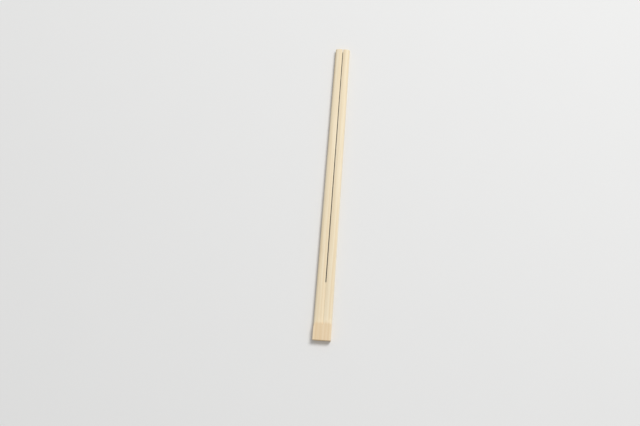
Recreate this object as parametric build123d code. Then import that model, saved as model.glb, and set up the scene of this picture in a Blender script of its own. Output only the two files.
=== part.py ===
from build123d import *
import math
import os

# A pair of disposable bamboo chopsticks, still joined at the head.
# One flat strip of bamboo is milled on both faces into two round-backed sticks side by side.
# A thin saw kerf parts them from the tips nearly to the head, which is left square and whole.
# Sizes are in millimetres and angles in degrees.
# Frame: +Y runs from the head to the tips, +X to the right, +Z up.
# The origin is under the middle of the pair, on the surface that it lies on.

# The strip: parallel along the head, then tapering evenly to the tips
LENGTH = 210.0
HEAD_WIDTH = 12.5
TIP_WIDTH = 10.1
THICKNESS = 5.0

# Milling: the sticks' crowns lie MILLING_DEPTH below the strip's upper face. Below, they would stand
# LAND_DEPTH proud of its lower face, so a narrow flat land of that face is left along each stick,
# level with the head, and the pair lies on it.
MILLING_DEPTH = 0.35
LAND_DEPTH = 0.03
GROOVE_END_FROM_HEAD = 10.0
CUTTER_RADIUS = 16.0

# The milled section: a groove between the sticks, a low crown and a round outer edge.
# The side bands are what is left flat along the outer sides.
GROOVE_WIDTH = 2.0
SIDE_BAND_HEAD = 1.2
SIDE_BAND_TIP = 0.5
CROWN_ANGLE = 13.0
GROOVE_ANGLE = 48.0
SIDE_ANGLE = 84.0

# The saw kerf, cut from below by a round blade and a little narrower at the tips.
# SAW_OVERSHOOT is how far the blade stands out of the upper face.
KERF_AT_END = 0.65
KERF_AT_TIPS = 0.45
KERF_END_FROM_HEAD = 39.4
SAW_RADIUS = 50.0
SAW_OVERSHOOT = 4.0

# Worn edges
TIP_ROUNDING = 0.4
HEAD_ROUNDING = 0.2

# How far each cutter reaches past the wood
CLEAR = 1.0

HEAD_Y = -LENGTH / 2
TIP_Y = LENGTH / 2
CROWN_SLOPE = math.radians(CROWN_ANGLE)


def mean_slope(end_angle):
    """The chord slope of an arc that leaves the crown at CROWN_ANGLE and ends at end_angle."""
    return math.tan(math.radians((CROWN_ANGLE + end_angle) / 2))


def section_sizes(stick_width, side_band):
    """Half widths, and depths below the crown, of one stick's profile. Both faces share it."""
    half_groove = GROOVE_WIDTH / 2
    fall = (THICKNESS - MILLING_DEPTH + LAND_DEPTH - side_band) / 2
    sag_rate = math.tan(CROWN_SLOPE / 2) / 2
    crown_and_edge = stick_width - half_groove
    edge_width = (fall - crown_and_edge * sag_rate) / (mean_slope(SIDE_ANGLE) - sag_rate)
    sag = (crown_and_edge - edge_width) * sag_rate
    return {
        "groove": half_groove,
        "edge": stick_width - edge_width,
        "side": stick_width,
        "sag": sag,
        "groove_depth": sag + half_groove * mean_slope(GROOVE_ANGLE),
        "side_depth": fall,
    }


HEAD_SECTION = section_sizes(HEAD_WIDTH / 2, SIDE_BAND_HEAD)
TIP_SECTION = section_sizes(TIP_WIDTH / 2, SIDE_BAND_TIP)


def run_out(depth):
    """How far towards the head the cutter still bites, depth below the strip's face."""
    return math.sqrt(2 * CUTTER_RADIUS * depth + depth**2)


LIFT_Y = HEAD_Y + GROOVE_END_FROM_HEAD + run_out(MILLING_DEPTH + HEAD_SECTION["groove_depth"])


def milled_profile(sizes, y, crown_depth):
    """The area above both sticks at y, bounded below by their crowns, groove and outer edges."""
    crown_z = THICKNESS - crown_depth
    above = THICKNESS + CLEAR
    edges = []
    for side in (-1, 1):
        groove_floor = (0, crown_z - sizes["groove_depth"])
        inner = (side * sizes["groove"], crown_z - sizes["sag"])
        outer = (side * sizes["edge"], crown_z - sizes["sag"])
        rim = (side * sizes["side"], crown_z - sizes["side_depth"])
        inward = (-side * math.cos(CROWN_SLOPE), -math.sin(CROWN_SLOPE))
        outward = (side * math.cos(CROWN_SLOPE), -math.sin(CROWN_SLOPE))
        past_rim = side * (sizes["side"] + CLEAR)
        edges.append(TangentArc(inner, groove_floor, tangent=inward))
        edges.append(TangentArc(outer, inner, tangent=(-outward[0], -outward[1])))
        edges.append(TangentArc(outer, rim, tangent=outward))
        edges.append(Polyline(rim, (past_rim, rim[1]), (past_rim, above), (0, above)))
    across = Plane(origin=(0, y, 0), x_dir=(1, 0, 0), z_dir=(0, -1, 0))
    return across * make_face(edges)


def milling_cuts(crown_depth):
    """The cutter's path over the upper face: straight in from the tips, then up its own radius."""
    at_tips = milled_profile(TIP_SECTION, TIP_Y, crown_depth)
    at_lift = milled_profile(HEAD_SECTION, LIFT_Y, crown_depth)
    cutter_axis = Axis((0, LIFT_Y, THICKNESS + CUTTER_RADIUS), (1, 0, 0))
    deepest = crown_depth + HEAD_SECTION["side_depth"] + CLEAR
    lift_angle = math.degrees(math.asin(run_out(deepest) / (CUTTER_RADIUS + deepest)))
    return [loft([at_tips, at_lift], ruled=True), revolve(at_lift, cutter_axis, -lift_angle)]


def strip():
    outline = Polyline(
        (-HEAD_WIDTH / 2, HEAD_Y),
        (HEAD_WIDTH / 2, HEAD_Y),
        (HEAD_WIDTH / 2, LIFT_Y),
        (TIP_WIDTH / 2, TIP_Y),
        (-TIP_WIDTH / 2, TIP_Y),
        (-HEAD_WIDTH / 2, LIFT_Y),
        close=True,
    )
    blank = extrude(make_face(outline), THICKNESS)
    head_end = blank.faces().sort_by(Axis.Y)[0]
    return fillet(head_end.edges(), HEAD_ROUNDING)


def saw_kerf():
    """The slit: a slim wedge that ends in the blade's own arc, nearer to the head on the underside."""
    end_y = HEAD_Y + KERF_END_FROM_HEAD
    groove_z = THICKNESS - MILLING_DEPTH - HEAD_SECTION["groove_depth"]
    blade_z = THICKNESS + SAW_OVERSHOOT - SAW_RADIUS
    blade_y = end_y + math.sqrt(SAW_RADIUS**2 - (groove_z - blade_z) ** 2)
    below = -CLEAR
    foot_y = blade_y - math.sqrt(SAW_RADIUS**2 - (below - blade_z) ** 2)
    top = (blade_y, blade_z + SAW_RADIUS)
    past_tips = TIP_Y + CLEAR
    edges = [
        TangentArc(top, (foot_y, below), tangent=(-1, 0)),
        Polyline((foot_y, below), (past_tips, below), (past_tips, top[1]), top),
    ]
    blade_path = extrude(Plane.YZ * make_face(edges), KERF_AT_END, both=True)
    wedge_start = HEAD_Y
    widening = (KERF_AT_END - KERF_AT_TIPS) / (TIP_Y - end_y)
    wide = KERF_AT_END + widening * (end_y - wedge_start)
    narrow = KERF_AT_TIPS - widening * CLEAR
    wedge = Polyline(
        (-wide / 2, wedge_start),
        (wide / 2, wedge_start),
        (narrow / 2, past_tips),
        (-narrow / 2, past_tips),
        close=True,
    )
    return blade_path & extrude(Plane.XY.offset(below) * make_face(wedge), top[1] - below)


def chopstick_pair():
    middle = Plane.XY.offset(THICKNESS / 2)
    body = strip()
    for cut in milling_cuts(MILLING_DEPTH):
        body -= cut
    for cut in milling_cuts(-LAND_DEPTH):
        body -= mirror(cut, middle)
    body -= saw_kerf()
    tip_ends = body.faces().group_by(Axis.Y)[-1]
    return fillet(tip_ends.edges(), TIP_ROUNDING)


os.makedirs("parts", exist_ok=True)
pair = chopstick_pair()
print("solids", len(pair.solids()), "volume", round(pair.volume, 1), "valid", pair.is_valid)
export_step(pair, "parts/chopstick_pair.step")
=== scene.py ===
import math

import bpy
from mathutils import Matrix, Vector


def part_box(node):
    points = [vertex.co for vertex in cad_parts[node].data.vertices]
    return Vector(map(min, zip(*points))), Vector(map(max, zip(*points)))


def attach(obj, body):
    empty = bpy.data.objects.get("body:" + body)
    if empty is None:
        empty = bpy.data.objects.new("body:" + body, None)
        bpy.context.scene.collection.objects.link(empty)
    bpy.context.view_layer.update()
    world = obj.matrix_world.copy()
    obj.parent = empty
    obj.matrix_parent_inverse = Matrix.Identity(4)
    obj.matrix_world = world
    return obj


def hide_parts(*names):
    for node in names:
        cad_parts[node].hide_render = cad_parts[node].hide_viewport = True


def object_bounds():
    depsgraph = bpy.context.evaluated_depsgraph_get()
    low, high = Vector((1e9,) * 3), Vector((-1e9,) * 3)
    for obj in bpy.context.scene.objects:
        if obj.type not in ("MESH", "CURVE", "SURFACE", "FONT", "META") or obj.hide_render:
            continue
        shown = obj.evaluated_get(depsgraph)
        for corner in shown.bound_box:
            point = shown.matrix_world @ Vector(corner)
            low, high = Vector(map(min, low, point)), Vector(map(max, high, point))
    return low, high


# A joined pair of disposable bamboo chopsticks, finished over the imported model.
# Metres, in the same frame as the model: +Y from the head to the tips, +Z up.
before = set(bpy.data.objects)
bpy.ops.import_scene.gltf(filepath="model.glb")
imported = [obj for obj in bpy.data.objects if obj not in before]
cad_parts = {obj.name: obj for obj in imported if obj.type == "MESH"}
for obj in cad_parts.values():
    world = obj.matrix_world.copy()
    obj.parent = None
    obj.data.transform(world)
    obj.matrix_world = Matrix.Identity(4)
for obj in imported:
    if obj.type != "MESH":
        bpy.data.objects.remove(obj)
cadLow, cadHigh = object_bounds()
mm = 0.001


# Small helpers for building materials from nodes

def newMaterial(name):
    material = bpy.data.materials.new(name)
    material.use_nodes = True
    tree = material.node_tree
    tree.nodes.clear()
    output = tree.nodes.new("ShaderNodeOutputMaterial")
    shader = tree.nodes.new("ShaderNodeBsdfPrincipled")
    tree.links.new(shader.outputs["BSDF"], output.inputs["Surface"])
    return material, tree, shader


def feed(tree, socket, value):  # a socket takes a number, a colour or another node's output
    if isinstance(value, (int, float)):
        socket.default_value = value
    elif isinstance(value, tuple):
        socket.default_value = (*value, 1.0)
    else:
        tree.links.new(value, socket)


def mapped(tree, perMetre, offset=(0, 0, 0)):  # object coordinates, stretched to a pattern's size
    place = tree.nodes.new("ShaderNodeTexCoord")
    mapping = tree.nodes.new("ShaderNodeMapping")
    mapping.inputs["Location"].default_value = offset
    mapping.inputs["Scale"].default_value = perMetre
    tree.links.new(place.outputs["Object"], mapping.inputs["Vector"])
    return mapping.outputs["Vector"]


def noise(tree, vector, detail, roughness):
    node = tree.nodes.new("ShaderNodeTexNoise")
    node.inputs["Scale"].default_value = 1.0
    node.inputs["Detail"].default_value = detail
    node.inputs["Roughness"].default_value = roughness
    tree.links.new(vector, node.inputs["Vector"])
    return node.outputs["Fac"]


def spread(tree, value, low, high, toLow=0.0, toHigh=1.0):  # a smooth step, held at both ends
    node = tree.nodes.new("ShaderNodeMapRange")
    node.interpolation_type = "SMOOTHSTEP"
    limits = {"From Min": low, "From Max": high, "To Min": toLow, "To Max": toHigh}
    for name, number in limits.items():
        node.inputs[name].default_value = number
    tree.links.new(value, node.inputs["Value"])
    return node.outputs["Result"]


def blendColours(tree, factor, first, second, kind="MIX"):
    node = tree.nodes.new("ShaderNodeMix")
    node.data_type = "RGBA"
    node.blend_type = kind
    feed(tree, node.inputs[0], factor)
    feed(tree, node.inputs[6], first)
    feed(tree, node.inputs[7], second)
    return node.outputs[2]


def calculate(tree, operation, first, second=0.0):
    node = tree.nodes.new("ShaderNodeMath")
    node.operation = operation
    feed(tree, node.inputs[0], first)
    feed(tree, node.inputs[1], second)
    return node.outputs[0]


# Patterns are given per metre: fine across the wood and drawn out along it.
bamboo = {
    "pale": (0.880, 0.775, 0.580),
    "straw": (0.785, 0.640, 0.425),
    "fibre": (0.590, 0.430, 0.250),
    "broad": {"perMetre": (420, 9, 420), "offset": (0, 0, 0), "detail": 2.0, "roughness": 0.5},
    "streaks": {"perMetre": (2100, 22, 2100), "offset": (0, 0, 0), "detail": 3.0, "roughness": 0.6},
    "threads": {"perMetre": (5200, 60, 5200), "offset": (3, 1, 7), "detail": 2.0, "roughness": 0.5},
    "broadShown": (0.30, 0.72),
    "streaksShown": (0.46, 0.70),
    "streakDepth": 0.38,
    "threadsShown": (0.60, 0.74),
    "threadDepth": 0.42,
    "endDots": (1900, 20, 1900),
    "dotSize": (0.18, 0.42),
    "dotDepth": 0.62,
    "endFacing": (0.55, 0.85),  # how squarely a face looks along the wood
    "headTone": (0.965, 0.895, 0.830),  # the unmilled head is a little browner
    "headLength": 11.8 * mm,
    "headFade": 1.2 * mm,
    "slitShadeTone": (0.160, 0.110, 0.070),  # painted shade: the sawn slit walls coloured dark for the shade down inside the slit
    "slitShadeReach": (0.42 * mm, 0.5 * mm),
    "slitShadeFacing": (0.80, 0.97),  # how squarely a face looks across the wood, which picks the slit walls for the painted shade
    "roughness": (0.48, 0.66),
    "roughShown": (0.3, 0.7),
    "endRoughness": 0.2,
    "ior": 1.45,
    "specular": 0.35,
    "streakRelief": 0.6,
    "threadRelief": 0.5,
    "bump": 0.05 * mm,
    "bumpStrength": 0.5,
    "weld": 0.001 * mm,
    "smoothAngle": 28,
}


def grain(tree, pattern):
    vector = mapped(tree, pattern["perMetre"], pattern["offset"])
    return noise(tree, vector, pattern["detail"], pattern["roughness"])


def longGrain(tree, streaks, threads):
    broad = spread(tree, grain(tree, bamboo["broad"]), *bamboo["broadShown"])
    colour = blendColours(tree, broad, bamboo["pale"], bamboo["straw"])
    deeper = spread(tree, streaks, *bamboo["streaksShown"], 0.0, bamboo["streakDepth"])
    colour = blendColours(tree, deeper, colour, bamboo["straw"])
    dashes = spread(tree, threads, *bamboo["threadsShown"], 0.0, bamboo["threadDepth"])
    return blendColours(tree, dashes, colour, bamboo["fibre"])


def endGrain(tree):  # the cut ends of the fibre bundles, as dots
    dots = tree.nodes.new("ShaderNodeTexVoronoi")
    dots.inputs["Scale"].default_value = 1.0
    tree.links.new(mapped(tree, bamboo["endDots"]), dots.inputs["Vector"])
    dark = spread(tree, dots.outputs["Distance"], *bamboo["dotSize"], bamboo["dotDepth"], 0.0)
    return blendColours(tree, dark, bamboo["straw"], bamboo["fibre"])


def bambooMaterial():
    material, tree, shader = newMaterial("bambooWood")
    place = tree.nodes.new("ShaderNodeTexCoord")
    apart = tree.nodes.new("ShaderNodeSeparateXYZ")
    tree.links.new(place.outputs["Object"], apart.inputs[0])
    shape = tree.nodes.new("ShaderNodeNewGeometry")
    facing = tree.nodes.new("ShaderNodeSeparateXYZ")
    tree.links.new(shape.outputs["True Normal"], facing.inputs[0])

    streaks = grain(tree, bamboo["streaks"])
    threads = grain(tree, bamboo["threads"])
    alongWood = calculate(tree, "ABSOLUTE", facing.outputs["Y"])
    endFace = spread(tree, alongWood, *bamboo["endFacing"])
    colour = blendColours(tree, endFace, longGrain(tree, streaks, threads), endGrain(tree))

    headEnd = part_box("chopstick_pair")[0].y + bamboo["headLength"]
    fade = bamboo["headFade"]
    head = spread(tree, apart.outputs["Y"], headEnd - fade, headEnd + fade, 1.0, 0.0)
    browner = blendColours(tree, 1.0, colour, bamboo["headTone"], "MULTIPLY")
    colour = blendColours(tree, head, colour, browner)

    # Painted shade: faces near the middle that look across the wood are the slit walls, coloured
    # dark for the shade in the narrow slit.
    offMiddle = calculate(tree, "ABSOLUTE", apart.outputs["X"])
    middle = spread(tree, offMiddle, *bamboo["slitShadeReach"], 1.0, 0.0)
    acrossWood = calculate(tree, "ABSOLUTE", facing.outputs["X"])
    slitShadeWalls = spread(tree, acrossWood, *bamboo["slitShadeFacing"])
    slitShadeMask = calculate(tree, "MULTIPLY", middle, slitShadeWalls)
    colour = blendColours(tree, slitShadeMask, colour, bamboo["slitShadeTone"])
    tree.links.new(colour, shader.inputs["Base Color"])

    rough = spread(tree, streaks, *bamboo["roughShown"], *bamboo["roughness"])
    endRough = calculate(tree, "MULTIPLY", endFace, bamboo["endRoughness"])
    tree.links.new(calculate(tree, "ADD", rough, endRough), shader.inputs["Roughness"])
    shader.inputs["IOR"].default_value = bamboo["ior"]
    shader.inputs["Specular IOR Level"].default_value = bamboo["specular"]

    streakRelief = calculate(tree, "MULTIPLY", streaks, bamboo["streakRelief"])
    threadRelief = calculate(tree, "MULTIPLY", threads, bamboo["threadRelief"])
    bump = tree.nodes.new("ShaderNodeBump")
    bump.inputs["Strength"].default_value = bamboo["bumpStrength"]
    bump.inputs["Distance"].default_value = bamboo["bump"]
    tree.links.new(calculate(tree, "ADD", streakRelief, threadRelief), bump.inputs["Height"])
    tree.links.new(bump.outputs["Normal"], shader.inputs["Normal"])
    return material


def finishedPair():  # the machined solid, merged and smoothed so that its rounds shade as rounds
    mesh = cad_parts["chopstick_pair"].data.copy()
    mesh.name = "joinedChopsticks"
    piece = bpy.data.objects.new("joinedChopsticks", mesh)
    bpy.context.scene.collection.objects.link(piece)
    bpy.ops.object.select_all(action="DESELECT")
    piece.select_set(True)
    bpy.context.view_layer.objects.active = piece
    bpy.ops.object.mode_set(mode="EDIT")
    bpy.ops.mesh.select_all(action="SELECT")
    bpy.ops.mesh.remove_doubles(threshold=bamboo["weld"])
    bpy.ops.object.mode_set(mode="OBJECT")
    bpy.ops.mesh.customdata_custom_splitnormals_clear()
    bpy.ops.object.shade_smooth_by_angle(angle=math.radians(bamboo["smoothAngle"]))
    mesh.materials.clear()
    mesh.materials.append(bambooMaterial())
    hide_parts("chopstick_pair")
    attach(piece, "root")
    return piece


pair = finishedPair()
print("pair finished:", len(pair.data.polygons), "faces")

floorLook = {
    "size": 6.0,
    "tone": (0.800, 0.800, 0.795),
    "darkerBy": 0.99,
    "cloudPerMetre": (30, 30, 30),
    "cloudDetail": 2.0,
    "cloudRoughness": 0.5,
    "roughness": 0.75,
    "specular": 0.2,
}


def layFloor():
    bpy.ops.object.select_all(action="DESELECT")
    bpy.ops.mesh.primitive_plane_add(size=floorLook["size"], location=(0, 0, cadLow.z))
    floor = bpy.context.object
    floor.name = "paleFloor"
    material, tree, shader = newMaterial("paleFloor")
    vector = mapped(tree, floorLook["cloudPerMetre"])
    cloud = noise(tree, vector, floorLook["cloudDetail"], floorLook["cloudRoughness"])
    darker = tuple(part * floorLook["darkerBy"] for part in floorLook["tone"])
    colour = blendColours(tree, cloud, floorLook["tone"], darker)
    tree.links.new(colour, shader.inputs["Base Color"])
    shader.inputs["Roughness"].default_value = floorLook["roughness"]
    shader.inputs["Specular IOR Level"].default_value = floorLook["specular"]
    floor.data.materials.append(material)


layFloor()
print("floor laid")

# The camera looks down on the pair, leaning back from over the head end.
viewing = {
    "lens": 61.9,
    "nearest": 0.01,
    "height": 0.741,  # above the top of the pair
    "lean": 13.6,  # degrees off straight down
    "turn": 4.24,  # degrees from the pair's length to the way the camera leans
    "behind": 0.1959,  # the camera stands this far short of the pair's middle
    "beside": 0.0088,  # and this far to the left of it
}


def placeCamera():
    turn = math.radians(viewing["turn"])
    lean = math.radians(viewing["lean"])
    ahead = Vector((-math.sin(turn), math.cos(turn), 0))
    right = Vector((math.cos(turn), math.sin(turn), 0))
    look = ahead * math.sin(lean) + Vector((0, 0, -1)) * math.cos(lean)
    up = right.cross(look)
    middle = (cadLow + cadHigh) / 2
    stand = Vector((middle.x, middle.y, cadHigh.z + viewing["height"]))
    stand -= ahead * viewing["behind"] + right * viewing["beside"]
    data = bpy.data.cameras.new("overhead")
    data.lens = viewing["lens"]
    data.clip_start = viewing["nearest"]
    camera = bpy.data.objects.new("overhead", data)
    facing = Matrix((right, up, -look)).transposed().to_4x4()
    camera.matrix_world = Matrix.Translation(stand) @ facing
    bpy.context.scene.collection.objects.link(camera)
    bpy.context.scene.camera = camera
    return ahead, right


ahead, right = placeCamera()
print("camera placed")

# One large soft lamp stands beyond the tips on the right, in a pale room.
lighting = {
    "distance": 2.2,
    "elevation": 57.0,
    "fromAhead": 38.5,  # degrees to the right of straight ahead
    "lampSize": 0.95,
    "lampPower": 32.0,
    "roomColour": (1.0, 1.0, 1.0, 1.0),
    "roomStrength": 0.46,
}


def placeLights():
    elevation = math.radians(lighting["elevation"])
    swing = math.radians(lighting["fromAhead"])
    level = ahead * math.cos(swing) + right * math.sin(swing)
    towards = level * math.cos(elevation) + Vector((0, 0, 1)) * math.sin(elevation)
    data = bpy.data.lights.new("softLamp", "AREA")
    data.shape = "DISK"
    data.size = lighting["lampSize"]
    data.energy = lighting["lampPower"]
    lamp = bpy.data.objects.new("softLamp", data)
    lamp.location = towards * lighting["distance"]
    lamp.rotation_euler = towards.to_track_quat("Z", "Y").to_euler()
    bpy.context.scene.collection.objects.link(lamp)
    world = bpy.data.worlds.new("paleRoom")
    world.use_nodes = True
    backdrop = world.node_tree.nodes["Background"]
    backdrop.inputs["Color"].default_value = lighting["roomColour"]
    backdrop.inputs["Strength"].default_value = lighting["roomStrength"]
    bpy.context.scene.world = world


placeLights()
bpy.context.scene.view_settings.view_transform = "Standard"
print("lights placed")
